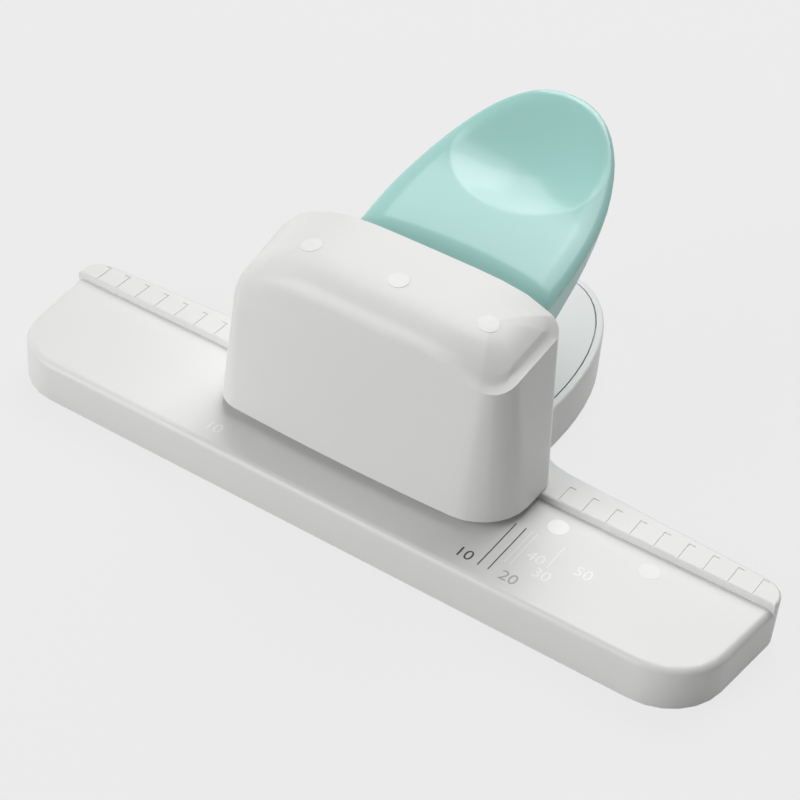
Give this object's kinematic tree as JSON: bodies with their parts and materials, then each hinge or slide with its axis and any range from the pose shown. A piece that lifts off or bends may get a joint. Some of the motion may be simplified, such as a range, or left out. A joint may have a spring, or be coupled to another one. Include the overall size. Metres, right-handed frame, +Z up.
{
  "type": "three-hole punch",
  "caption": "Desk punch for organizer pages: long paper bed with a fence, covered punch head, thumb lever over a rounded tongue, and a hinged chip cover underneath.",
  "frame": {"origin": "centre of the footprint's bounding box, on the desk surface under the rubber feet", "axes": "+X along the paper bed to the end with the gauge marks, +Y from the front edge to the tongue, +Z up from the desk"},
  "size_m": [0.1594, 0.0892, 0.0584],
  "materials": {
    "white_plastic": "satin moulded plastic",
    "inlay_plastic": "fine matt",
    "mint_plastic": "glossy moulded plastic",
    "smoke_plastic": "frosted moulded plastic",
    "steel": "ground and polished",
    "plated_steel": "zinc-plated sheet",
    "spring_steel": "drawn wire",
    "rubber": "matt black"
  },
  "bodies": {
    "base": {"base_body": "white_plastic", "tongue_inlay": "inlay_plastic", "head_cover": "white_plastic", "die_plate": "plated_steel", "punch_frame": "plated_steel", "lever_shaft": "steel", "shaft_clip_left": "spring_steel", "shaft_clip_right": "spring_steel", "cover_hinge_pin_left": "steel", "cover_hinge_pin_right": "steel", "frame_screw_left": "steel", "frame_screw_right": "steel", "head_screw_left": "steel", "head_screw_right": "steel", "foot_front_left": "rubber", "foot_front_right": "rubber", "foot_back_left": "rubber", "foot_back_right": "rubber", "foot_tongue": "rubber", "pin_spring_left": "spring_steel", "pin_spring_middle": "spring_steel", "pin_spring_right": "spring_steel"},
    "lever": {"lever": "mint_plastic", "press_rod": "steel"},
    "chip_cover": {"chip_cover": "smoke_plastic"},
    "pin_left": {"punch_pin_left": "steel", "pin_ring_left": "spring_steel"},
    "pin_middle": {"punch_pin_middle": "steel", "pin_ring_middle": "spring_steel"},
    "pin_right": {"punch_pin_right": "steel", "pin_ring_right": "spring_steel"}
  },
  "joints": [
    {"name": "lever_press", "type": "hinge", "parent": "base", "child": "lever", "pos_m": [0, -0.02785, 0.031], "axis": [-1, 0, 0], "range_deg": [0, 30], "stiffness_Nm_per_rad": 0.1, "springref_deg": -22.92},
    {"name": "chip_cover_hinge", "type": "hinge", "parent": "base", "child": "chip_cover", "pos_m": [0, -0.04005, 0.0027], "axis": [-1, 0, 0], "range_deg": [0, 80]},
    {"name": "pin_left_stroke", "type": "slide", "parent": "base", "child": "pin_left", "axis": [0, 0, -1], "range_m": [0, 0.0027], "deforming": ["pin_spring_left"]},
    {"name": "pin_middle_stroke", "type": "slide", "parent": "base", "child": "pin_middle", "axis": [0, 0, -1], "range_m": [0, 0.0027], "deforming": ["pin_spring_middle"]},
    {"name": "pin_right_stroke", "type": "slide", "parent": "base", "child": "pin_right", "axis": [0, 0, -1], "range_m": [0, 0.0027], "deforming": ["pin_spring_right"]}
  ],
  "couplings": [
    {"joint": "pin_left_stroke", "follows": "lever_press", "m_per_rad": 0.0051408},
    {"joint": "pin_middle_stroke", "follows": "lever_press", "m_per_rad": 0.0051408},
    {"joint": "pin_right_stroke", "follows": "lever_press", "m_per_rad": 0.0051408}
  ]
}
